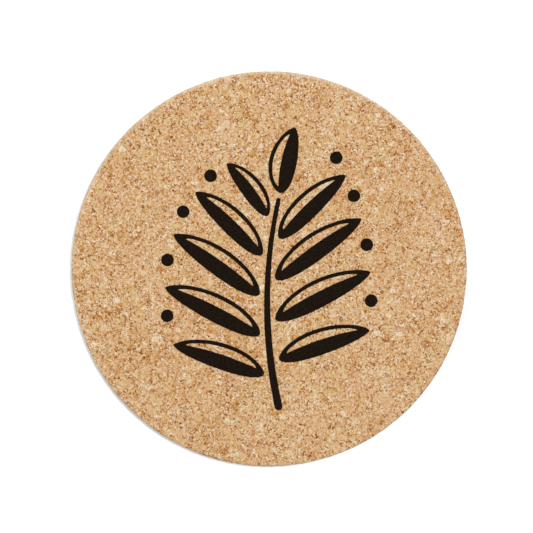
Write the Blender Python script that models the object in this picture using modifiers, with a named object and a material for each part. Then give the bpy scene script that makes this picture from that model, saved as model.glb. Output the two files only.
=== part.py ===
"""Round cork coaster with a leaf sprig printed on its top face.

Metres, +Z up. The disc rests on z = 0, with its axis on Z, and the sprig grows towards +Y.
"""

import math
from collections import namedtuple

import bmesh
import bpy
from mathutils import Matrix, Vector

MM = 0.001
WELD_DISTANCE = 0.001 * MM

# Cork disc
DISC_DIAMETER = 100 * MM
DISC_THICKNESS = 5 * MM
EDGE_RADIUS = 0.6 * MM
DISC_SIDES = 128
EDGE_SEGMENTS = 3
SMOOTH_BELOW = math.radians(40)

# Ink, which soaks in from the top face and lies flush with it in a bed
INK_DEPTH = 0.3 * MM
INK_CLEARANCE = 0.3 * MM
BED_CUTTER_RISE = 1 * MM

# Stem: an arc that narrows from its foot to its head
STEM_BEND_RADIUS = 120 * MM
STEM_FOOT_LENGTH = 7.5 * MM
STEM_HEAD_LENGTH = 6 * MM
STEM_FOOT_WIDTH = 2.0 * MM
STEM_HEAD_WIDTH = 1.1 * MM
STEM_STEPS = 20
CAP_STEPS = 6

# Leaves: one half is solid ink, the other half is open inside a drawn line
LEFT_LEAVES = 5
RIGHT_LEAVES = 4
RIGHT_STAGGER = 0.4
LEAF_LENGTH = 27 * MM
LEAF_WIDTH = 7 * MM
LEAF_GAP = 1.0 * MM
LEAF_STAND_OFF = 1.2 * MM
LEAF_RIB_WIDTH = 0.9 * MM
LEAF_LINE_WIDTH = 1.0 * MM
LEAF_RISE = 1.0 * MM
TIP_LEAF_LENGTH = 17 * MM
LOW_LEAF_ANGLE = math.radians(72)
HIGH_LEAF_ANGLE = math.radians(38)
LONGEST_LEAF_AT = 0.35
LEAF_SHORTENING = 0.9
LEAF_BELLY = 1.15
LEAF_POINT = 1.35
OPENING_START = 0.10
OPENING_END = 0.88
LEAF_STEPS = 14

# A pointed end is moved by this many margins, so that its slanting sides clear by one
TIP_MARGINS = 2
OPENING_END_MARGINS = 5

# Berries: dots between the leaf tips, half a row above a leaf
BERRY_DIAMETER = 3.2 * MM
BERRY_ROW = 0.5
BERRY_STEPS = 20

# Worked out from the sizes above
LAST_ROW = LEFT_LEAVES - 1
MIDDLE_LEAF_ANGLE = (LOW_LEAF_ANGLE + HIGH_LEAF_ANGLE) / 2
LEAF_PITCH = (LEAF_WIDTH + LEAF_GAP) / math.sin(MIDDLE_LEAF_ANGLE)
STEM_LENGTH = STEM_FOOT_LENGTH + LAST_ROW * LEAF_PITCH + STEM_HEAD_LENGTH
UPRIGHT = math.pi / 2

CORK_COLOUR = (0.64, 0.40, 0.205, 1)
CORK_ROUGHNESS = 0.9
INK_COLOUR = (0.014, 0.009, 0.006, 1)
INK_ROUGHNESS = 0.6

# An area of ink: where it starts, which way it points, and its outlines as a function of a margin
Area = namedtuple("Area", "name origin heading outlines")


def clear_scene():
    for old in list(bpy.data.objects):
        bpy.data.objects.remove(old, do_unlink=True)


def new_collection(name):
    collection = bpy.data.collections.new(name)
    bpy.context.scene.collection.children.link(collection)
    return collection


def new_material(name, colour, roughness):
    material = bpy.data.materials.new(name)
    material.use_nodes = True
    shader = material.node_tree.nodes["Principled BSDF"]
    shader.inputs["Base Color"].default_value = colour
    shader.inputs["Roughness"].default_value = roughness
    shader.inputs["Metallic"].default_value = 0
    return material


def direction(angle):
    return Vector((math.cos(angle), math.sin(angle)))


def blend(first, last, share):
    return first + (last - first) * share


def arc_points(centre, radius, start, end, steps):
    """Points on an arc, with both of its ends."""
    return [centre + radius * direction(blend(start, end, step / steps)) for step in range(steps + 1)]


def stem_place(distance):
    """The point and the heading of the stem's middle line, this far up from its foot."""
    turn = (distance - STEM_LENGTH / 2) / STEM_BEND_RADIUS
    point = STEM_BEND_RADIUS * Vector((1 - math.cos(turn), math.sin(turn)))
    return point, UPRIGHT - turn


def stem_half_width(distance):
    return blend(STEM_FOOT_WIDTH, STEM_HEAD_WIDTH, distance / STEM_LENGTH) / 2


def stem_outline(margin):
    """Up the right side, round the head, down the left side and round the foot, grown by the margin."""
    right = []
    left = []
    for step in range(STEM_STEPS + 1):
        distance = STEM_LENGTH * step / STEM_STEPS
        point, heading = stem_place(distance)
        across = direction(heading - UPRIGHT) * (stem_half_width(distance) + margin)
        right.append(point + across)
        left.append(point - across)
    head, head_heading = stem_place(STEM_LENGTH)
    foot, foot_heading = stem_place(0)
    head_cap = arc_points(
        head, STEM_HEAD_WIDTH / 2 + margin, head_heading - UPRIGHT, head_heading + UPRIGHT, CAP_STEPS
    )
    foot_cap = arc_points(
        foot, STEM_FOOT_WIDTH / 2 + margin, foot_heading + UPRIGHT, foot_heading + 3 * UPRIGHT, CAP_STEPS
    )
    return right + head_cap[1:-1] + left[::-1] + foot_cap[1:-1]


def leaf_swell(angle):
    """How far along the leaf, and how near its full half width, an angle from 0 (base) to pi (tip) lies."""
    along = ((1 - math.cos(angle)) / 2) ** LEAF_BELLY
    return along, abs(math.sin(angle)) ** LEAF_POINT


def leaf_rise(x, length):
    """How far the midrib stands off the straight line from base to tip."""
    share = x / length
    return LEAF_RISE * 4 * share * (1 - share)


def leaf_outline(length, width, upper_side, margin):
    """The almond-shaped edge of a leaf, grown by the margin: base at the origin, tip along +X."""
    points = []
    for step in range(2 * LEAF_STEPS):
        angle = math.pi * step / LEAF_STEPS
        side = -1 if angle < math.pi else 1
        along, swell = leaf_swell(angle)
        x = blend(-TIP_MARGINS * margin, length + TIP_MARGINS * margin, along)
        y = side * (width / 2 + margin) * swell + upper_side * leaf_rise(x, length)
        points.append(Vector((x, y)))
    return points


def leaf_opening(length, width, upper_side, margin):
    """The bare half of a leaf, between its rib and its drawn line, shrunk by the margin."""
    start = OPENING_START * length + OPENING_END_MARGINS * margin
    end = OPENING_END * length - OPENING_END_MARGINS * margin
    rib_edge = LEAF_RIB_WIDTH / 2 + margin
    depth = width / 2 - LEAF_LINE_WIDTH - margin - rib_edge
    line_side = []
    rib_side = []
    for step in range(LEAF_STEPS + 1):
        along, swell = leaf_swell(math.pi * step / LEAF_STEPS)
        x = blend(start, end, along)
        rise = leaf_rise(x, length)
        line_side.append(Vector((x, upper_side * (rise + rib_edge + depth * swell))))
        rib_side.append(Vector((x, upper_side * (rise + rib_edge))))
    return line_side + rib_side[-2:0:-1]


def berry_outline(margin):
    points = arc_points(Vector((0, 0)), BERRY_DIAMETER / 2 + margin, 0, 2 * math.pi, BERRY_STEPS)
    return points[:-1]


def leaf_angle(row):
    """How far a leaf leans from the upright: low leaves spread, high ones stand up."""
    return blend(LOW_LEAF_ANGLE, HIGH_LEAF_ANGLE, row / LAST_ROW)


def leaf_size(row):
    """Length and width of the leaf in a row: longest a third of the way up, shorter to both ends."""
    share = 1 - LEAF_SHORTENING * (row / LAST_ROW - LONGEST_LEAF_AT) ** 2
    return LEAF_LENGTH * share, LEAF_WIDTH * math.sqrt(share)


def side_place(row, stagger, side, reach):
    """Origin and heading of what grows beside a row of the stem, this far beyond its stand-off."""
    distance = STEM_FOOT_LENGTH + (row + stagger) * LEAF_PITCH
    point, stem_heading = stem_place(distance)
    heading = UPRIGHT + side * leaf_angle(row)
    lean = abs(heading - stem_heading)
    clear = (stem_half_width(distance) + LEAF_STAND_OFF) / math.sin(lean)
    return point + direction(heading) * (clear + reach), heading


def leaf_area(name, origin, heading, length, width, upper_side):
    def outlines(margin):
        return [
            leaf_outline(length, width, upper_side, margin),
            leaf_opening(length, width, upper_side, margin),
        ]

    return Area(name, origin, heading, outlines)


def berry_area(name, origin, heading):
    return Area(name, origin, heading, lambda margin: [berry_outline(margin)])


def sprig_areas():
    """The stem, then each side's leaves and berries from the foot up, then the leaf at the tip."""
    areas = [Area("stem", Vector((0, 0)), 0, lambda margin: [stem_outline(margin)])]
    for side_name, side, leaves, stagger in (
        ("left", 1, LEFT_LEAVES, 0),
        ("right", -1, RIGHT_LEAVES, RIGHT_STAGGER),
    ):
        for row in range(leaves):
            origin, heading = side_place(row, stagger, side, 0)
            areas.append(leaf_area(f"leaf_{side_name}_{row + 1}", origin, heading, *leaf_size(row), -side))
        for row in range(LAST_ROW):
            length, _ = leaf_size(row + BERRY_ROW)
            origin, heading = side_place(row + BERRY_ROW, stagger, side, length)
            areas.append(berry_area(f"berry_{side_name}_{row + 1}", origin, heading))
    head, heading = stem_place(STEM_LENGTH)
    origin = head + direction(heading) * (stem_half_width(STEM_LENGTH) + LEAF_STAND_OFF)
    areas.append(leaf_area("leaf_tip", origin, heading, TIP_LEAF_LENGTH, LEAF_WIDTH, 1))
    return areas


def in_plane(origin, heading):
    return Matrix.Translation(origin.to_3d()) @ Matrix.Rotation(heading, 4, "Z")


def sprig_middle(areas):
    """Middle of the box round the whole sprig, which goes on the disc's axis."""
    points = []
    for area in areas:
        place = in_plane(area.origin, area.heading)
        points += [place @ point.to_3d() for point in area.outlines(0)[0]]
    xs = [point.x for point in points]
    ys = [point.y for point in points]
    return Vector(((min(xs) + max(xs)) / 2, (min(ys) + max(ys)) / 2))


def flat_plate(name, area, middle, margin, low, high):
    """A curve in an area's outlines, the first its edge and any other a hole, from z = low to z = high."""
    curve = bpy.data.curves.new(name, "CURVE")
    curve.dimensions = "2D"
    curve.fill_mode = "BOTH"
    curve.extrude = (high - low) / 2
    for outline in area.outlines(margin):
        spline = curve.splines.new("POLY")
        spline.points.add(len(outline) - 1)
        for point, corner in zip(spline.points, outline):
            point.co = (corner.x, corner.y, 0, 1)
        spline.use_cyclic_u = True
    plate = bpy.data.objects.new(name, curve)
    lift = Matrix.Translation((0, 0, (low + high) / 2))
    plate.matrix_world = lift @ in_plane(area.origin - middle, area.heading)
    return plate


def mesh_from_curve(plate, name, collection):
    """The same plate as a closed mesh, which a Boolean can use."""
    bpy.context.view_layer.update()
    evaluated = plate.evaluated_get(bpy.context.evaluated_depsgraph_get())
    mesh = bpy.data.meshes.new_from_object(evaluated)
    shape = bmesh.new()
    shape.from_mesh(mesh)
    bmesh.ops.remove_doubles(shape, verts=shape.verts, dist=WELD_DISTANCE)
    bmesh.ops.recalc_face_normals(shape, faces=shape.faces)
    shape.to_mesh(mesh)
    shape.free()
    solid = bpy.data.objects.new(name, mesh)
    solid.matrix_world = plate.matrix_world
    collection.objects.link(solid)
    bpy.data.objects.remove(plate, do_unlink=True)
    return solid


def make_ink(areas, middle, material, parts):
    """Each area of ink, flush with the top face."""
    for area in areas:
        ink = flat_plate("ink_" + area.name, area, middle, 0, DISC_THICKNESS - INK_DEPTH, DISC_THICKNESS)
        ink.data.materials.append(material)
        parts.objects.link(ink)


def make_bed_cutters(areas, middle, cutters):
    """What cuts the bed of each area: the ink's outlines and depth with the clearance all round."""
    low = DISC_THICKNESS - INK_DEPTH - INK_CLEARANCE
    high = DISC_THICKNESS + BED_CUTTER_RISE
    for area in areas:
        plate = flat_plate("bed_outline", area, middle, INK_CLEARANCE, low, high)
        cutters.objects.link(plate)
        cutter = mesh_from_curve(plate, "bed_" + area.name, cutters)
        cutter.hide_render = True
        cutter.display_type = "WIRE"


def make_cork_disc(material, parts, cutters):
    """A cylinder with rounded edges, and a bed in its top face for each area of ink."""
    bpy.ops.mesh.primitive_cylinder_add(
        vertices=DISC_SIDES,
        radius=DISC_DIAMETER / 2,
        depth=DISC_THICKNESS,
        location=(0, 0, DISC_THICKNESS / 2),
    )
    disc = bpy.context.object
    disc.name = "cork_disc"
    for collection in list(disc.users_collection):
        collection.objects.unlink(disc)
    parts.objects.link(disc)
    disc.data.materials.append(material)
    disc.data.shade_smooth()
    disc.data.set_sharp_from_angle(angle=SMOOTH_BELOW)
    rounding = disc.modifiers.new("rounded edges", "BEVEL")
    rounding.width = EDGE_RADIUS
    rounding.segments = EDGE_SEGMENTS
    rounding.limit_method = "ANGLE"
    rounding.angle_limit = SMOOTH_BELOW
    beds = disc.modifiers.new("ink beds", "BOOLEAN")
    beds.operation = "DIFFERENCE"
    beds.operand_type = "COLLECTION"
    beds.collection = cutters
    beds.solver = "EXACT"


def build_coaster():
    clear_scene()
    parts = new_collection("cork_coaster")
    cutters = new_collection("cutters")
    areas = sprig_areas()
    middle = sprig_middle(areas)
    make_bed_cutters(areas, middle, cutters)
    make_cork_disc(new_material("cork", CORK_COLOUR, CORK_ROUGHNESS), parts, cutters)
    make_ink(areas, middle, new_material("ink", INK_COLOUR, INK_ROUGHNESS), parts)


build_coaster()
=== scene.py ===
import itertools
import math

import bpy
import numpy as np
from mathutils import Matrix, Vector


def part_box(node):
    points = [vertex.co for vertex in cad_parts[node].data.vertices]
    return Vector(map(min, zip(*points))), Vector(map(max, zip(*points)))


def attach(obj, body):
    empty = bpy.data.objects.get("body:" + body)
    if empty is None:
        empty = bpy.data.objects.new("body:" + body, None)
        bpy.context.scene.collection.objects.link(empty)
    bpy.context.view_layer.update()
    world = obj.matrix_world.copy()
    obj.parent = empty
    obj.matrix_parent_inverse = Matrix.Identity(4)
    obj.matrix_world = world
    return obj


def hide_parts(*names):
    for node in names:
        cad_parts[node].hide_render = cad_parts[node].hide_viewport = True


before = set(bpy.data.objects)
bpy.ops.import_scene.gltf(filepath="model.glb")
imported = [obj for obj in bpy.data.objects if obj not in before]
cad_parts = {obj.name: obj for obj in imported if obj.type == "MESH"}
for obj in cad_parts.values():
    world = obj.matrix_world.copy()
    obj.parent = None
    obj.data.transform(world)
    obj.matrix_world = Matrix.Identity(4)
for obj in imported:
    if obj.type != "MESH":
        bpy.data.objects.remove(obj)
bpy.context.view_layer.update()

mm = 0.001
tiny = 1e-12  # stands in for zero where something is divided by it
scene = bpy.context.scene
scene.view_settings.view_transform = "Standard"
print("frame:", len(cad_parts), "nodes")


# sRGB 0..255 to the linear colour that a socket takes, by the standard curve: a straight foot, then a power
def srgb(red, green, blue):
    share = np.array([red, green, blue]) / 255
    linear = np.where(share <= 0.04045, share / 12.92, ((share + 0.055) / 1.055) ** 2.4)
    return (*linear.tolist(), 1.0)


# first at share 0, last at share 1, straight between
def blend(first, last, share):
    return first + (last - first) * share


# 0 below low, 1 above high, between them three times the share squared less twice its cube
def easeStep(low, high, value):
    share = np.clip((value - low) / (high - low), 0, 1)
    return share * share * (3 - 2 * share)


# factors that spread a cell's numbers over all the bits
stir = dict(x=374761393, y=668265263, z=2246822519, salt=40503, start=977, once=2654435761, again=3266489917)


# random 0..1 for a cell: its three numbers times odd factors plus a salt, then the bits stirred twice
def cellRandom(cells, salt):
    key = cells.astype(np.int64).astype(np.uint32)
    mix = key[:, 0] * np.uint32(stir["x"]) + key[:, 1] * np.uint32(stir["y"])
    mix = mix + key[:, 2] * np.uint32(stir["z"]) + np.uint32(salt * stir["salt"] + stir["start"])
    mix = (mix ^ (mix >> np.uint32(15))) * np.uint32(stir["once"])
    mix = (mix ^ (mix >> np.uint32(13))) * np.uint32(stir["again"])
    return (mix ^ (mix >> np.uint32(16))) / 2.0**32


# one seed at a random spot in each cube of this size, a point belongs to the nearest:
# gives that granule's own number 0..1 and how much further off the next seed is
def granules(points, size, salt):
    place = points / size
    home = np.floor(place)
    beyond = 9.0  # in cubes, further off than any seed
    nearest = np.full(len(points), beyond)
    second = np.full(len(points), beyond)
    number = np.zeros(len(points))
    for step in itertools.product((-1, 0, 1), repeat=3):
        cell = home + step
        seed = cell + np.stack([cellRandom(cell, salt + axis) for axis in range(3)], axis=1)
        away = np.linalg.norm(place - seed, axis=1)
        closer = away < nearest
        second = np.where(closer, nearest, np.minimum(second, away))
        number = np.where(closer, cellRandom(cell, salt + 3), number)
        nearest = np.minimum(nearest, away)
    return number, (second - nearest) * size


# random value at each corner of cubes of this size, eased between the corners
def smoothNoise(points, size, salt):
    place = points / size
    home = np.floor(place)
    ease = easeStep(0, 1, place - home)
    total = np.zeros(len(points))
    for corner in itertools.product((0, 1), repeat=3):
        share = np.prod(np.where(corner, ease, 1 - ease), axis=1)
        total += share * cellRandom(home + corner, salt)
    return total


# quads between neighbours of a table of vertex numbers
def gridQuads(number):
    corners = [number[:-1, :-1], number[:-1, 1:], number[1:, 1:], number[1:, :-1]]
    return np.stack(corners, axis=2).reshape(-1, 4)


# square grid bent to a unit disc: distance from the middle = the larger of |a|, |b|,
# angle = an eighth of a turn times the smaller over the larger. Gives points, quads, rim numbers
def discGrid(steps):
    a, b = np.meshgrid(np.linspace(-1, 1, steps + 1), np.linspace(-1, 1, steps + 1))
    wide = np.abs(a) > np.abs(b)
    far = np.where(wide, a, b)
    far = np.where(far == 0, tiny, far)
    angle = np.where(wide, math.pi / 4 * b / far, math.pi / 2 - math.pi / 4 * a / far)
    points = np.stack([far * np.cos(angle), far * np.sin(angle)], axis=2).reshape(-1, 2)
    number = np.arange((steps + 1) ** 2).reshape(steps + 1, steps + 1)
    rim = np.concatenate([number[0, :-1], number[:-1, -1], number[-1, :0:-1], number[:0:-1, 0]])
    return points, gridQuads(number), rim


# a smooth mesh that stands for a CAD node, with a value at each point for every attribute
def newPiece(name, points, faces, material, nodeName, attributes=None):
    mesh = bpy.data.meshes.new(name)
    mesh.from_pydata(points.tolist(), [], faces)
    mesh.polygons.foreach_set("use_smooth", np.ones(len(mesh.polygons), bool))
    for key, values in (attributes or {}).items():
        attribute = mesh.attributes.new(key, "FLOAT", "POINT")
        attribute.data.foreach_set("value", values.astype(np.float32))
    mesh.materials.append(material)
    mesh.update()
    piece = bpy.data.objects.new(name, mesh)
    scene.collection.objects.link(piece)
    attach(piece, "root")
    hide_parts(nodeName)


# a new material, its node tree and its shader
def newMaterial(name):
    material = bpy.data.materials.new(name)
    material.use_nodes = True
    return material, material.node_tree, material.node_tree.nodes["Principled BSDF"]


# a node with its settings, and its sockets set to a value or linked to another node's output
def addNode(tree, kind, sockets=None, **settings):
    made = tree.nodes.new(kind)
    for key, value in settings.items():
        setattr(made, key, value)
    for key, value in (sockets or {}).items():
        if isinstance(value, bpy.types.NodeSocket):
            tree.links.new(value, made.inputs[key])
        else:
            made.inputs[key].default_value = value
    return made


# where a point lies in its piece
def objectPlace(tree):
    return addNode(tree, "ShaderNodeTexCoord").outputs["Object"]


# the value that the mesh holds at each point under this name
def meshValue(tree, name):
    return addNode(tree, "ShaderNodeAttribute", attribute_name=name).outputs["Fac"]


# one operation on two values
def mathNode(tree, operation, first, second):
    return addNode(tree, "ShaderNodeMath", {0: first, 1: second}, operation=operation).outputs[0]


# one operation on vectors
def vectorNode(tree, operation, sockets):
    return addNode(tree, "ShaderNodeVectorMath", sockets, operation=operation).outputs[0]


# first times second, plus third
def timesPlus(tree, first, second, third):
    sockets = {0: first, 1: second, 2: third}
    return addNode(tree, "ShaderNodeMath", sockets, operation="MULTIPLY_ADD").outputs[0]


# weighted sum of values, each taken about its own middle of 0.5, round the given middle
def sumNode(tree, middle, parts):
    total = middle - sum(weight for _, weight in parts) / 2
    for value, weight in parts:
        total = timesPlus(tree, value, weight, total)
    return total


# low..high of a value becomes toLow..toHigh, and goes no further
def rangeNode(tree, value, low, high, toLow=0.0, toHigh=1.0):
    sockets = {"Value": value, "From Min": low, "From Max": high, "To Min": toLow, "To Max": toHigh}
    return addNode(tree, "ShaderNodeMapRange", sockets, clamp=True).outputs["Result"]


# evenly spread 0..1 becomes mostly near 0.5 and seldom far off: the way from the middle to an odd power
def rareNode(tree, value, power):
    off = mathNode(tree, "POWER", rangeNode(tree, value, 0.0, 1.0, -1.0, 1.0), power)
    return rangeNode(tree, off, -1.0, 1.0)


# a value becomes a colour, straight between the stops
def rampNode(tree, value, stops):
    made = addNode(tree, "ShaderNodeValToRGB", {"Fac": value})
    ramp = made.color_ramp
    for place, colour in stops[1:-1]:
        ramp.elements.new(place).color = colour
    ramp.elements[0].position, ramp.elements[0].color = stops[0]
    ramp.elements[-1].position, ramp.elements[-1].color = stops[-1]
    return made.outputs["Color"]


# first where the share is 0, second (or what the mode makes of both) where it is 1
def mixColour(tree, share, first, second, mode="MIX"):
    sockets = {0: share, 6: first, 7: second}  # 6, 7 and output 2 are the colour sockets
    return addNode(tree, "ShaderNodeMix", sockets, data_type="RGBA", blend_type=mode).outputs[2]


# a colour's three numbers
def threeNumbers(tree, colour):
    return addNode(tree, "ShaderNodeSeparateColor", {"Color": colour}).outputs


# cells round random seeds, this size
def voronoi(tree, vector, size, feature="F1"):
    sockets = {"Vector": vector, "Scale": 1 / size}
    made = addNode(tree, "ShaderNodeTexVoronoi", sockets, feature=feature, voronoi_dimensions="3D")
    return made.outputs


# soft noise of this size, about 0.5
def noise(tree, vector, size, detail=2.0, roughness=0.5):
    sockets = {"Vector": vector, "Scale": 1 / size, "Detail": detail, "Roughness": roughness}
    return addNode(tree, "ShaderNodeTexNoise", sockets, noise_dimensions="3D").outputs


# relief too fine for the mesh: the slope of height times distance tilts the shader's normal
def addBump(tree, shader, height, strength, distance):
    sockets = {"Strength": strength, "Distance": distance, "Height": height}
    tree.links.new(addNode(tree, "ShaderNodeBump", sockets).outputs[0], shader.inputs["Normal"])


corkLook = dict(
    big=1.4 * mm,  # granules
    small=0.7 * mm,
    bigShare=0.45,
    bend=0.14 * mm,  # how far their sides wander
    bendSize=0.4 * mm,
    flakeLong=0.6 * mm,  # flakes and growth streaks inside a granule
    flakeWide=0.3 * mm,
    streak=0.3 * mm,
    streakDetail=1.0,
    streakRough=0.6,
    streakLow=0.2,  # noise levels where a streak is darkest and palest
    streakHigh=0.8,
    seamWidth=0.15,  # as a share of a small granule, and of a big one
    bigSeamWidth=0.075,
    seamShut=0.4,  # noise level where a seam starts to open, and where it is open
    seamOpen=0.65,
    seamPatch=0.73 * mm,
    drift=12 * mm,  # slow change of tone
    granuleTone=0.46,  # how much each one moves the tone
    granuleCurve=7,
    flakeTone=0.55,
    streakTone=0.55,
    seamTone=0.4,
    driftTone=0.16,
    middleTone=0.401,
    quietest=0.4,  # how strong flakes and streaks are in the plainest and in the liveliest granule
    liveliest=2.05,
    bigLively=0.55,  # big granules keep to the plainer end
    speck=0.45 * mm,  # bark specks
    speckCore=0.2,  # dark as far as this from the middle, gone at the rim, as shares of the speck
    speckRim=0.6,
    speckFaint=0.3,  # how far a speck dips the tone
    speckDark=1.1,
    cluster=2.5 * mm,
    clusterFrom=0.38,  # noise level where specks start, and where they lie thickest
    clusterTo=0.72,
    clusterShare=0.176,  # cells that hold one there
    patch=8 * mm,  # slow change of hue
    granuleHue=0.016,  # how much each one moves the hue
    granuleHueCurve=3,
    flakeHue=0.0105,
    patchHue=0.004,
    middleHue=0.5008,
    granuleDepth=0.03,  # and the saturation
    middleDepth=1.015,
    # painted shade in the torn-out pits: how strongly they are darkened, and the shade's tint
    pitPaintedShade=0.4,
    pitShadeTint=srgb(150, 100, 54),
    # colour of the pale edge: wear plus a painted highlight
    wornAndLitTint=srgb(240, 222, 194),
    roughest=0.95,
    smoothest=0.8,
    gloss=0.2,
    granuleBump=0.4,  # how much each one moves the bump's height
    flakeBump=0.3,
    streakBump=0.3,
    seamBump=0.5,
    bumpStrength=0.4,
    bumpHeight=0.05 * mm,
    tones=[
        (0.0, srgb(122, 60, 13)),
        (0.15, srgb(161, 93, 30)),
        (0.3, srgb(190, 129, 66)),
        (0.5, srgb(211, 165, 112)),
        (0.7, srgb(223, 191, 150)),
        (0.85, srgb(230, 207, 176)),
        (1.0, srgb(238, 224, 202)),
    ],
)


# the place plus noise about its middle, so that no granule has straight sides
def bentPlace(tree, place):
    noiseReach = 0.25  # noise seldom goes further from its middle
    wander = noise(tree, place, corkLook["bendSize"])["Color"]
    wander = vectorNode(tree, "SUBTRACT", {0: wander, 1: (0.5, 0.5, 0.5)})
    wander = vectorNode(tree, "SCALE", {0: wander, "Scale": corkLook["bend"] / noiseReach})
    return vectorNode(tree, "ADD", {0: place, 1: wander})


# small cells with bigger ones among them: gives each granule's three random numbers, its middle,
# and 1 where it is a big one
def corkGranules(tree, bent):
    small = voronoi(tree, bent, corkLook["small"])
    big = voronoi(tree, bent, corkLook["big"])
    bigOwn = threeNumbers(tree, big["Color"])
    isBig = mathNode(tree, "LESS_THAN", bigOwn[0], corkLook["bigShare"])
    bigNumbers = addNode(tree, "ShaderNodeCombineColor", {
        0: rangeNode(tree, bigOwn[0], 0.0, corkLook["bigShare"]),
        1: bigOwn[1],
        2: mathNode(tree, "MULTIPLY", bigOwn[2], corkLook["bigLively"]),
    }).outputs[0]
    numbers = mixColour(tree, isBig, small["Color"], bigNumbers)
    middle = mixColour(tree, isBig, small["Position"], big["Position"])
    return numbers, middle, isBig


# cells and noise on a place that is turned another way in each granule and drawn out along one axis:
# gives each flake's numbers, and the streak 0..1
def corkFlakes(tree, bent, numbers, middle):
    turn = vectorNode(tree, "SCALE", {0: numbers, "Scale": 2 * math.pi})
    place = vectorNode(tree, "SUBTRACT", {0: bent, 1: middle})
    sockets = {"Vector": place, "Rotation": turn}
    place = addNode(tree, "ShaderNodeVectorRotate", sockets, rotation_type="EULER_XYZ").outputs[0]
    stretch = (corkLook["flakeWide"] / corkLook["flakeLong"], 1.0, 1.0)
    place = vectorNode(tree, "MULTIPLY", {0: place, 1: stretch})
    place = vectorNode(tree, "ADD", {0: place, 1: numbers})
    flake = threeNumbers(tree, voronoi(tree, place, corkLook["flakeWide"])["Color"])
    streak = noise(tree, place, corkLook["streak"], corkLook["streakDetail"], corkLook["streakRough"])["Fac"]
    return flake, rangeNode(tree, streak, corkLook["streakLow"], corkLook["streakHigh"])


# 1 on whole cork, less where the seam between two granules is open
def corkShut(tree, place, bent, isBig):
    smallSeam = voronoi(tree, bent, corkLook["small"], "DISTANCE_TO_EDGE")["Distance"]
    smallSeam = rangeNode(tree, smallSeam, 0.0, corkLook["seamWidth"], 1.0, 0.0)
    smallSeam = mathNode(tree, "MULTIPLY", smallSeam, mathNode(tree, "SUBTRACT", 1.0, isBig))
    bigSeam = voronoi(tree, bent, corkLook["big"], "DISTANCE_TO_EDGE")["Distance"]
    bigSeam = rangeNode(tree, bigSeam, 0.0, corkLook["bigSeamWidth"], 1.0, 0.0)
    seam = mathNode(tree, "MAXIMUM", smallSeam, bigSeam)
    opening = noise(tree, place, corkLook["seamPatch"], detail=1.0)["Fac"]
    opening = rangeNode(tree, opening, corkLook["seamShut"], corkLook["seamOpen"])
    return mathNode(tree, "SUBTRACT", 1.0, mathNode(tree, "MULTIPLY", seam, opening))


# bark specks in loose clusters: how far each one dips the tone, most in its middle
def corkSpecks(tree, place, bent):
    speck = voronoi(tree, bent, corkLook["speck"])
    own = threeNumbers(tree, speck["Color"])
    share = noise(tree, place, corkLook["cluster"])["Fac"]
    ends = (corkLook["clusterFrom"], corkLook["clusterTo"], 0.0, corkLook["clusterShare"])
    share = rangeNode(tree, share, *ends)
    dip = rangeNode(tree, speck["Distance"], corkLook["speckCore"], corkLook["speckRim"], 1.0, 0.0)
    dip = mathNode(tree, "MULTIPLY", dip, mathNode(tree, "LESS_THAN", own[0], share))
    deep = rangeNode(tree, own[1], 0.0, 1.0, corkLook["speckFaint"], corkLook["speckDark"])
    return mathNode(tree, "MULTIPLY", dip, deep)


# one tone from dark bark to pale cork: granule, seam and drift round a middle, plus flakes and streaks
# as strong as the granule is lively, less the specks
def corkTone(tree, place, bent, own, flake, streak, shut):
    lively = rangeNode(tree, own[2], 0.0, 1.0, corkLook["quietest"], corkLook["liveliest"])
    drift = noise(tree, place, corkLook["drift"])["Fac"]
    inside = sumNode(tree, 0.0, [
        (flake[0], corkLook["flakeTone"]),
        (streak, corkLook["streakTone"]),
    ])
    tone = sumNode(tree, corkLook["middleTone"], [
        (rareNode(tree, own[0], corkLook["granuleCurve"]), corkLook["granuleTone"]),
        (shut, corkLook["seamTone"]),
        (drift, corkLook["driftTone"]),
    ])
    tone = timesPlus(tree, inside, lively, tone)
    return mathNode(tree, "SUBTRACT", tone, corkSpecks(tree, place, bent))


# the colour turned redder and yellower by granule and flake, and in slow patches
def corkTint(tree, place, own, flake, colour):
    patch = noise(tree, place, corkLook["patch"], detail=1.0)["Fac"]
    hue = sumNode(tree, corkLook["middleHue"], [
        (rareNode(tree, own[1], corkLook["granuleHueCurve"]), corkLook["granuleHue"]),
        (flake[1], corkLook["flakeHue"]),
        (patch, corkLook["patchHue"]),
    ])
    depth = sumNode(tree, corkLook["middleDepth"], [(own[1], corkLook["granuleDepth"])])
    sockets = {"Hue": hue, "Saturation": depth, "Color": colour}
    return addNode(tree, "ShaderNodeHueSaturation", sockets).outputs[0]


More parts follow.
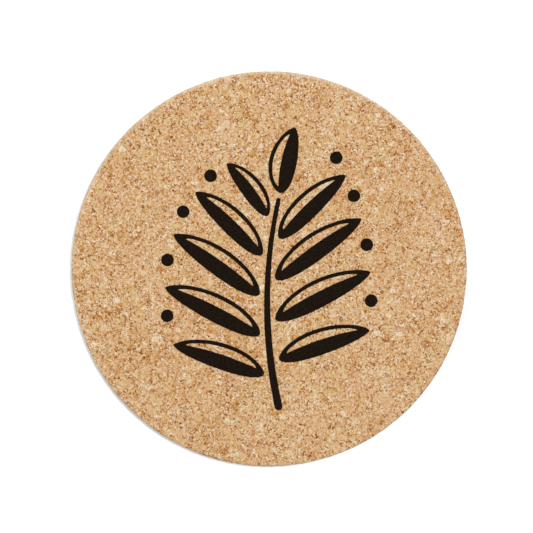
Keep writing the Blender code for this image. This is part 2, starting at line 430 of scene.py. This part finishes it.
# pressed cork: granules, flakes, streaks, seams and specks give one tone, and the tone gives the colour.
# The streaks set the roughness, and granules, flakes, streaks and seams the bump
def corkMaterial():
    material, tree, shader = newMaterial("cork")
    place = objectPlace(tree)
    bent = bentPlace(tree, place)
    numbers, middle, isBig = corkGranules(tree, bent)
    own = threeNumbers(tree, numbers)
    flake, streak = corkFlakes(tree, bent, numbers, middle)
    shut = corkShut(tree, place, bent, isBig)
    colour = rampNode(tree, corkTone(tree, place, bent, own, flake, streak, shut), corkLook["tones"])
    colour = corkTint(tree, place, own, flake, colour)

    # painted shade darkens the torn-out pits; the cut edge is paler, partly from wear and partly from a
    # painted highlight on the side towards the side lamp
    pit = mathNode(tree, "MULTIPLY", meshValue(tree, "pit"), corkLook["pitPaintedShade"])
    colour = mixColour(tree, pit, colour, corkLook["pitShadeTint"], "MULTIPLY")
    colour = mixColour(tree, meshValue(tree, "edgeWearAndHighlight"), colour, corkLook["wornAndLitTint"])
    tree.links.new(colour, shader.inputs["Base Color"])

    rough = rangeNode(tree, streak, 0.0, 1.0, corkLook["roughest"], corkLook["smoothest"])
    tree.links.new(rough, shader.inputs["Roughness"])
    shader.inputs["Specular IOR Level"].default_value = corkLook["gloss"]
    height = sumNode(tree, 0.5, [
        (own[0], corkLook["granuleBump"]),
        (flake[0], corkLook["flakeBump"]),
        (streak, corkLook["streakBump"]),
        (shut, corkLook["seamBump"]),
    ])
    addBump(tree, shader, height, corkLook["bumpStrength"], corkLook["bumpHeight"])
    return material


inkLook = dict(
    grain=0.5 * mm,
    grainDetail=3.0,
    grainRough=0.6,
    tones=[
        (0.25, (0.0060, 0.0032, 0.0016, 1)),
        (0.5, (0.0105, 0.0060, 0.0031, 1)),
        (0.8, (0.0200, 0.0125, 0.0075, 1)),
    ],
    roughFrom=0.3,  # grain level where the ink is roughest, and where it is smoothest
    roughTo=0.7,
    roughest=0.9,
    smoothest=0.72,
    gloss=0.04,
    bumpStrength=0.4,
    bumpHeight=0.04 * mm,
)


# matt black-brown ink: one fine noise gives its colour, roughness and bump
def inkMaterial():
    material, tree, shader = newMaterial("ink")
    place = objectPlace(tree)
    grainLevel = noise(tree, place, inkLook["grain"], inkLook["grainDetail"], inkLook["grainRough"])["Fac"]
    tree.links.new(rampNode(tree, grainLevel, inkLook["tones"]), shader.inputs["Base Color"])
    ends = (inkLook["roughFrom"], inkLook["roughTo"], inkLook["roughest"], inkLook["smoothest"])
    tree.links.new(rangeNode(tree, grainLevel, *ends), shader.inputs["Roughness"])
    shader.inputs["Specular IOR Level"].default_value = inkLook["gloss"]
    addBump(tree, shader, grainLevel, inkLook["bumpStrength"], inkLook["bumpHeight"])
    return material


# the printed sprig has the same outlines as the CAD, on a finer grid
film = dict(
    thick=0.25 * mm,
    lift=0.015 * mm,  # how far the ink stands on the cork
    wobble=0.07 * mm,  # how unsteady its edges are
    wobbleSize=0.7 * mm,
    wobbleSalts=(71, 83),
    step=0.3 * mm,  # between rows of the grid
    weld=1e-7,  # points this near are one
)
stem = dict(
    bend=120 * mm,
    foot=7.5 * mm,
    head=6 * mm,
    footWidth=2.0 * mm,
    headWidth=1.1 * mm,
    endSteps=8,
    acrossSteps=8,
)
leaf = dict(
    left=5,
    right=4,
    stagger=0.4,
    length=27 * mm,
    width=7 * mm,
    gap=1.0 * mm,
    standOff=1.2 * mm,
    rib=0.9 * mm,
    line=1.0 * mm,
    rise=1.0 * mm,
    tipLength=17 * mm,
    lowAngle=math.radians(72),
    highAngle=math.radians(38),
    longestAt=0.35,
    shortening=0.9,
    belly=1.15,
    point=1.35,
    openStart=0.10,
    openEnd=0.88,
    extraRows=1.3,  # rows lie closer at the ends, so there are more than the length needs
    bandSteps=14,
    lineSteps=5,
)
berry = dict(diameter=3.2 * mm, row=0.5, steps=14)

lastRow = leaf["left"] - 1
leafPitch = (leaf["width"] + leaf["gap"]) / math.sin((leaf["lowAngle"] + leaf["highAngle"]) / 2)
stemLength = stem["foot"] + lastRow * leafPitch + stem["head"]


# one step in this direction: cosine and sine
def along(angle):
    return np.stack([np.cos(angle), np.sin(angle)], axis=-1)


# middle line of the stem: an arc, upright half way up. Gives the point and the direction there
def stemPlace(distance):
    turn = (distance - stemLength / 2) / stem["bend"]
    return stem["bend"] * np.stack([1 - np.cos(turn), np.sin(turn)], axis=-1), math.pi / 2 - turn


# half the stem's width, narrowing evenly from foot to head
def stemHalf(distance):
    return blend(stem["footWidth"], stem["headWidth"], distance / stemLength) / 2


# how far the leaf in a row leans, evenly less from the lowest row to the highest
def leafAngle(row):
    return blend(leaf["lowAngle"], leaf["highAngle"], row / lastRow)


# length and width of the leaf in a row: the length on a parabola that peaks a third of the way up, the
# width by the root of the same share
def leafSize(row):
    share = 1 - leaf["shortening"] * (row / lastRow - leaf["longestAt"]) ** 2
    return leaf["length"] * share, leaf["width"] * math.sqrt(share)


# where something grows beside the stem, this far beyond its stand-off, and its direction
def sidePlace(row, stagger, side, reach):
    distance = stem["foot"] + (row + stagger) * leafPitch
    point, stemHeading = stemPlace(distance)
    heading = math.pi / 2 + side * leafAngle(row)
    clear = (stemHalf(distance) + leaf["standOff"]) / math.sin(abs(heading - stemHeading))
    return point + along(heading) * (clear + reach), heading


# stem film: rows across the middle line, half width narrowing upwards, round at both ends
def stemSheet():
    footHalf = stem["footWidth"] / 2
    headHalf = stem["headWidth"] / 2
    quarter = np.linspace(0, math.pi / 2, stem["endSteps"] + 1)
    steps = int(stemLength / film["step"])
    middle = np.linspace(0, stemLength, steps + 1)
    distance = np.concatenate([
        -footHalf * np.cos(quarter[:-1]),
        middle,
        stemLength + headHalf * np.sin(quarter[1:]),
    ])
    half = np.concatenate([
        footHalf * np.sin(quarter[:-1]),
        stemHalf(middle),
        headHalf * np.cos(quarter[1:]),
    ])
    point, heading = stemPlace(distance)
    across = np.linspace(-1, 1, stem["acrossSteps"] + 1)[None, :, None]
    points = point[:, None] + along(heading + math.pi / 2)[:, None] * half[:, None, None] * across
    number = np.arange(points.shape[0] * points.shape[1]).reshape(points.shape[:2])
    return points.reshape(-1, 2), gridQuads(number.T)


# how far along the leaf an angle 0 (base) .. pi (tip) lies, and its share of the full half width there:
# half of one less the cosine, and the sine, each to a power
def leafSwell(angle):
    return ((1 - np.cos(angle)) / 2) ** leaf["belly"], np.abs(np.sin(angle)) ** leaf["point"]


# leaf film: a solid band from the lower edge to the rib, and a drawn line along the upper edge, both on a
# middle line that rises in a parabola. They meet where the bare half between them has closed.
# upper is 1, or -1 for the mirrored leaf
def leafSheet(length, width, upper):
    steps = int(leaf["extraRows"] * length / film["step"])
    share, swell = leafSwell(np.linspace(0, math.pi, steps + 1))
    x = length * share
    half = width / 2 * swell
    middle = leaf["rise"] * 4 * share * (1 - share)
    inner = np.clip((share - leaf["openStart"]) / (leaf["openEnd"] - leaf["openStart"]), 0, 1)
    openSwell = leafSwell(np.arccos(1 - 2 * inner ** (1 / leaf["belly"])))[1]
    ribEdge = np.minimum(leaf["rib"] / 2, half / 2)
    bare = (width / 2 - leaf["line"] - leaf["rib"] / 2) * openSwell
    bandRows = np.linspace(0, 1, leaf["bandSteps"] + 1)[None, :]
    lineRows = np.linspace(0, 1, leaf["lineSteps"] + 1)[None, :]
    band = blend(-half[:, None], ribEdge[:, None], bandRows)
    line = blend((ribEdge + bare)[:, None], half[:, None], lineRows)
    across = np.concatenate([band, line], axis=1) + middle[:, None]
    points = np.stack([np.broadcast_to(x[:, None], across.shape), upper * across], axis=2)
    number = np.arange(across.size).reshape(across.shape)
    rows = bandRows.size
    quads = np.concatenate([gridQuads(number[:, :rows].T), gridQuads(number[:, rows:].T)])
    return points.reshape(-1, 2), quads if upper > 0 else quads[:, ::-1]


# berry film: a round dot
def berrySheet():
    points, quads, _ = discGrid(berry["steps"])
    return points * berry["diameter"] / 2, quads


# flat points turned to a heading about the origin, then moved
def turned(points, origin, heading):
    cosine = math.cos(heading)
    sine = math.sin(heading)
    return points @ np.array([[cosine, sine], [-sine, cosine]]) + origin


# every area of ink: node name, flat points, quads; the box round them all is centred on the disc
def sprigSheets():
    sheets = [("ink_stem", *stemSheet())]
    sides = (("left", 1, leaf["left"], 0), ("right", -1, leaf["right"], leaf["stagger"]))
    for sideName, side, leaves, stagger in sides:
        for row in range(leaves):
            points, quads = leafSheet(*leafSize(row), -side)
            points = turned(points, *sidePlace(row, stagger, side, 0))
            sheets.append((f"ink_leaf_{sideName}_{row + 1}", points, quads))
        for row in range(lastRow):
            points, quads = berrySheet()
            between = row + berry["row"]
            leafLength, _ = leafSize(between)
            points = turned(points, *sidePlace(between, stagger, side, leafLength))
            sheets.append((f"ink_berry_{sideName}_{row + 1}", points, quads))
    head, heading = stemPlace(stemLength)
    head = head + along(heading) * (stemHalf(stemLength) + leaf["standOff"])
    points, quads = leafSheet(leaf["tipLength"], leaf["width"], 1)
    sheets.append(("ink_leaf_tip", turned(points, head, heading), quads))
    everything = np.concatenate([points for _, points, _ in sheets])
    middle = (everything.min(axis=0) + everything.max(axis=0)) / 2
    return [(name, points - middle, quads) for name, points, quads in sheets]


# points that coincide become one, quads become triangles, and the ones with no area go
def welded(points, quads):
    rounded = np.round(points / film["weld"])
    _, first, number = np.unique(rounded, axis=0, return_index=True, return_inverse=True)
    quads = number.reshape(-1)[quads]
    faces = np.concatenate([quads[:, [0, 1, 2]], quads[:, [0, 2, 3]]])
    real = (faces[:, 0] != faces[:, 1]) & (faces[:, 1] != faces[:, 2]) & (faces[:, 2] != faces[:, 0])
    return points[first], faces[real]


# edges that only one face has, in that face's direction
def openEdges(faces):
    edges = np.concatenate([faces[:, [0, 1]], faces[:, [1, 2]], faces[:, [2, 0]]])
    key = edges[:, 0] * (faces.max() + 1) + edges[:, 1]
    back = edges[:, 1] * (faces.max() + 1) + edges[:, 0]
    return edges[~np.isin(key, back)]


# which points lie inside a flat sheet: a ray to +x crosses its open edges an odd number of times
def insideSheet(points, sheetPoints, edges):
    start = sheetPoints[edges[:, 0]]
    end = sheetPoints[edges[:, 1]]
    py = points[:, 1][:, None]
    spans = (start[None, :, 1] > py) != (end[None, :, 1] > py)
    rise = np.where(end[:, 1] == start[:, 1], tiny, end[:, 1] - start[:, 1])
    crossing = start[:, 0] + (py - start[:, 1]) / rise * (end[:, 0] - start[:, 0])
    return (spans & (points[:, 0][:, None] < crossing)).sum(axis=1) % 2 == 1


# which points of the top face lie under ink: those inside one of the sheets
def underInk(points, sheets):
    covered = np.zeros(len(points), bool)
    for _, sheetPoints, sheetFaces in sheets:
        inBox = (points > sheetPoints.min(axis=0)) & (points < sheetPoints.max(axis=0))
        near = np.flatnonzero(inBox.all(axis=1))
        covered[near] |= insideSheet(points[near], sheetPoints, openEdges(sheetFaces))
    return covered


lowCorner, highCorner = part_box("cork_disc")
disc = dict(
    radius=(highCorner[0] - lowCorner[0]) / 2,
    thick=highCorner[2] - lowCorner[2],
    edge=0.6 * mm,
    topSteps=248,
    edgeSteps=5,
    wallSteps=8,
    wearAndHighlightMost=0.5,  # how pale the edge is, from wear plus a painted highlight, at the angle that faces the side lamp, and across from it
    wearAndHighlightLeast=0.08,
    wearAndHighlightAngle=math.radians(105),
    wearAndHighlightFull=0.3 * mm,  # from the edge: pale as far as this, not at all beyond the other
    wearAndHighlightNone=1.1 * mm,
)
grain = dict(
    granule=1.5 * mm,
    granuleLevel=0.05 * mm,
    granuleSalt=11,
    fine=0.85 * mm,
    fineLevel=0.035 * mm,
    fineSalt=29,
    seam=0.05 * mm,
    seamWidth=0.25 * mm,
    pitSize=0.95 * mm,
    pitShare=0.025,
    pitDepth=0.2 * mm,
    pitSlope=0.25 * mm,
    pitSalt=47,
    swell=0.03 * mm,
    swellSize=9 * mm,
    swellSalt=61,
    underInk=0.15 * mm,
)


# how far the cut surface lies below the disc's plain shape: each granule at its own level, seams
# sunk between them, a granule torn out here and there, and a slow swell. Gives depth and pits 0..1
def corkRelief(points):
    level, gap = granules(points, grain["granule"], grain["granuleSalt"])
    fineLevel, _ = granules(points, grain["fine"], grain["fineSalt"])
    torn, tornGap = granules(points, grain["pitSize"], grain["pitSalt"])
    pit = (torn < grain["pitShare"]) * easeStep(0, grain["pitSlope"], tornGap)
    depth = grain["granuleLevel"] * level + grain["fineLevel"] * fineLevel
    depth += grain["seam"] * np.exp(-((gap / grain["seamWidth"]) ** 2))
    depth += grain["swell"] * smoothNoise(points, grain["swellSize"], grain["swellSalt"])
    depth += grain["pitDepth"] * pit
    return depth, pit


# how pale the cut edge is, 0..1: real wear plus a painted highlight, fading with the distance from the edge,
# and from the angle that faces the side lamp to the angle across from it by the square of half of one plus
# the cosine
def edgeWearAndHighlight(points):
    inward = disc["radius"] - np.linalg.norm(points[:, :2], axis=1)
    fromEdge = np.hypot(inward, np.minimum(points[:, 2], disc["thick"] - points[:, 2]))
    paleBand = 1 - easeStep(disc["wearAndHighlightFull"], disc["wearAndHighlightNone"], fromEdge)
    # painted highlight: the edge is palest on the side that faces the side lamp
    facing = (1 + np.cos(np.arctan2(points[:, 1], points[:, 0]) - disc["wearAndHighlightAngle"])) / 2
    return paleBand * blend(disc["wearAndHighlightLeast"], disc["wearAndHighlightMost"], facing**2)


# a profile carried round the upright axis: this far out and this high, at each of the turns
def carriedRound(out, high, turns):
    level = np.broadcast_to(high[:, None], (len(high), len(turns)))
    return np.stack([out[:, None] * np.cos(turns), out[:, None] * np.sin(turns), level], axis=2)


# side of the disc, from below the top's rim to the underside's: a quarter round, an upright wall and
# another quarter round. Gives rings of points, and the way out at each
def discSide(turns):
    edge = disc["edge"]
    shoulder = disc["thick"] - edge
    quarter = np.linspace(0, math.pi / 2, disc["edgeSteps"] + 1)[1:]
    lowQuarter = math.pi / 2 + np.append(0, quarter)
    wall = np.linspace(shoulder, edge, disc["wallSteps"] + 1)[1:-1]
    lean = np.concatenate([quarter, np.full(len(wall), math.pi / 2), lowQuarter])
    height = np.concatenate([shoulder + edge * np.cos(quarter), wall, edge + edge * np.cos(lowQuarter)])
    reach = disc["radius"] - edge + edge * np.sin(lean)
    return carriedRound(reach, height, turns), carriedRound(np.sin(lean), np.cos(lean), turns)


# cork disc: the flat faces on disc grids, the side a rounded profile carried round, all pushed in by the
# relief, and further under the ink
def corkMesh(sheets):
    flat, topQuads, topRim = discGrid(disc["topSteps"])
    under, underQuads, underRim = discGrid(disc["topSteps"] // 2)
    inner = disc["radius"] - disc["edge"]
    top = np.column_stack([flat * inner, np.full(len(flat), disc["thick"])])
    side, sideOut = discSide(np.arctan2(flat[topRim, 1], flat[topRim, 0]))
    inside = ~np.isin(np.arange(len(under)), underRim)
    low = np.column_stack([under[inside] * inner, np.zeros(inside.sum())])
    points = np.concatenate([top, side.reshape(-1, 3), low])
    outward = np.concatenate([
        np.broadcast_to((0.0, 0.0, 1.0), top.shape),
        sideOut.reshape(-1, 3),
        np.broadcast_to((0.0, 0.0, -1.0), low.shape),
    ])
    depth, pit = corkRelief(points)
    covered = np.zeros(len(points), bool)
    covered[:len(top)] = underInk(top[:, :2], sheets)
    depth = depth + covered * grain["underInk"]
    attributes = {"pit": np.where(covered, 0, pit), "edgeWearAndHighlight": edgeWearAndHighlight(points)}

    # the side hangs on the top's rim, and every second point of its last ring is the underside's rim
    rings, around, _ = side.shape
    firstLow = len(top) + rings * around
    number = np.concatenate([topRim[None, :], np.arange(len(top), firstLow).reshape(rings, around)])
    number = np.column_stack([number, number[:, :1]])
    last = number[-1]
    lowNumber = np.zeros(len(under), int)
    lowNumber[inside] = np.arange(firstLow, len(points))
    lowNumber[underRim] = last[:-1:2]
    quads = np.concatenate([topQuads, gridQuads(number[::-1]), lowNumber[underQuads[:, ::-1]]])
    join = np.column_stack([last[:-1:2], last[2::2], last[1::2]])
    return points - outward * depth[:, None], quads.tolist() + join.tolist(), attributes


# ink film: the flat sheet with unsteady edges, laid on the cork's relief across its pits, its copy one
# thickness down, and walls along the open edges
def filmMesh(flatPoints, faces):
    level = np.column_stack([flatPoints, np.full(len(flatPoints), disc["thick"])])
    sway = [smoothNoise(level, film["wobbleSize"], salt) - 0.5 for salt in film["wobbleSalts"]]
    depth, pit = corkRelief(level)
    depth = depth - grain["pitDepth"] * pit
    upper = level + np.column_stack([np.stack(sway, axis=1) * film["wobble"], film["lift"] - depth])
    lower = upper - (0, 0, film["thick"])
    rim = openEdges(faces)
    count = len(upper)
    walls = np.column_stack([rim[:, 1], rim[:, 0], rim[:, 0] + count, rim[:, 1] + count])
    flats = np.concatenate([faces, faces[:, ::-1] + count])
    return np.concatenate([upper, lower]), flats.tolist() + walls.tolist()


corkSurface = corkMaterial()
inkSurface = inkMaterial()
print("finishes: cork and ink")
sheets = [(name, *welded(points, quads)) for name, points, quads in sprigSheets()]
points, faces, attributes = corkMesh(sheets)
newPiece("corkDisc", points, faces, corkSurface, "cork_disc", attributes)
print("cork disc:", len(points), "points,", len(faces), "faces")
for name, flatPoints, flatFaces in sheets:
    points, faces = filmMesh(flatPoints, flatFaces)
    newPiece(name.replace("ink_", "print_"), points, faces, inkSurface, name)
print("print:", len(sheets), "films")


# level is how bright a lamp makes white on a level face at the origin; degrees and metres
lamps = dict(
    keyLamp=dict(level=0.55, azimuth=25, elevation=81.3, away=1.2, size=0.08),
    sideLamp=dict(level=0.18, azimuth=108, elevation=42, away=0.9, size=0.3),
    fillLamp=dict(level=0.05, azimuth=235, elevation=30, away=1.2, size=0.5),
)


# round lamp aimed at the coaster: its energy is the level times pi squared times the distance squared,
# over the sine of the elevation
def addLamp(name, level, azimuth, elevation, away, size):
    turn = math.radians(azimuth)
    climb = math.radians(elevation)
    flatAway = away * math.cos(climb)
    lamp = bpy.data.lights.new(name, "AREA")
    lamp.shape = "DISK"
    lamp.size = size
    lamp.energy = level * math.pi**2 * away**2 / math.sin(climb)
    thing = bpy.data.objects.new(name, lamp)
    thing.location = (flatAway * math.cos(turn), flatAway * math.sin(turn), away * math.sin(climb))
    aim = Vector((0, 0, disc["thick"])) - thing.location
    thing.rotation_mode = "QUATERNION"
    thing.rotation_quaternion = aim.to_track_quat("-Z", "Y")
    scene.collection.objects.link(thing)


for name, lamp in lamps.items():
    addLamp(name, **lamp)


backdrop = dict(
    sky=0.22,
    floor=(0.8, 0.8, 0.8, 1),
    floorHalf=4,
    glow=0.36,  # the floor's own white near the coaster; far off, where the lamps fade, it is 1
    glowTint=(0.93, 1, 1.07, 1),
    near=0.15,  # metres from the middle
    far=0.8,
)


# 1 for rays that show the background, 0 for rays that carry its light
def seenRay(tree):
    path = addNode(tree, "ShaderNodeLightPath")
    seen = mathNode(tree, "MAXIMUM", path.outputs["Is Camera Ray"], path.outputs["Is Glossy Ray"])
    return mathNode(tree, "MAXIMUM", seen, path.outputs["Is Transmission Ray"])


# white sky, dimmer as a light than as a background
def addSky():
    world = bpy.data.worlds.new("sky")
    scene.world = world
    world.use_nodes = True
    tree = world.node_tree
    background = tree.nodes["Background"]
    background.inputs["Color"].default_value = (1, 1, 1, 1)
    level = rangeNode(tree, seenRay(tree), 0, 1, backdrop["sky"], 1.0)
    tree.links.new(level, background.inputs["Strength"])


# pale matt floor that takes the shadow, plus a glow that only shows, growing with the distance
def floorMaterial():
    material, tree, shader = newMaterial("paleFloor")
    tree.nodes.remove(shader)
    diffuse = addNode(tree, "ShaderNodeBsdfDiffuse", {"Color": backdrop["floor"]})
    away = addNode(tree, "ShaderNodeVectorMath", {0: objectPlace(tree)}, operation="LENGTH").outputs["Value"]
    level = rangeNode(tree, away, backdrop["near"], backdrop["far"], backdrop["glow"], 1.0)
    level = mathNode(tree, "MULTIPLY", seenRay(tree), level)
    glow = addNode(tree, "ShaderNodeEmission", {"Color": backdrop["glowTint"], "Strength": level})
    both = addNode(tree, "ShaderNodeAddShader", {0: diffuse.outputs[0], 1: glow.outputs[0]})
    tree.links.new(both.outputs[0], tree.nodes["Material Output"].inputs["Surface"])
    return material


# level square that the coaster lies on
def addFloor():
    half = backdrop["floorHalf"]
    corners = [(-half, -half, 0), (half, -half, 0), (half, half, 0), (-half, half, 0)]
    mesh = bpy.data.meshes.new("floor")
    mesh.from_pydata(corners, [], [(0, 1, 2, 3)])
    mesh.materials.append(floorMaterial())
    floor = bpy.data.objects.new("floor", mesh)
    scene.collection.objects.link(floor)


# wide is how much of the top face's plane the picture spans, right and up where its middle lies
view = dict(lens=200, wide=134.6 * mm, right=-0.67 * mm, up=0.59 * mm, farthest=20)


# camera straight above: its height over the top face is wide times lens over sensor
def addCamera():
    camera = bpy.data.cameras.new("camera")
    camera.lens = view["lens"]
    camera.clip_end = view["farthest"]
    above = disc["thick"] + view["wide"] * view["lens"] / camera.sensor_width
    thing = bpy.data.objects.new("camera", camera)
    thing.location = (view["right"], view["up"], above)
    scene.collection.objects.link(thing)
    scene.camera = thing


addSky()
addFloor()
addCamera()
print("stage:", len(lamps), "lamps, sky, floor and camera")
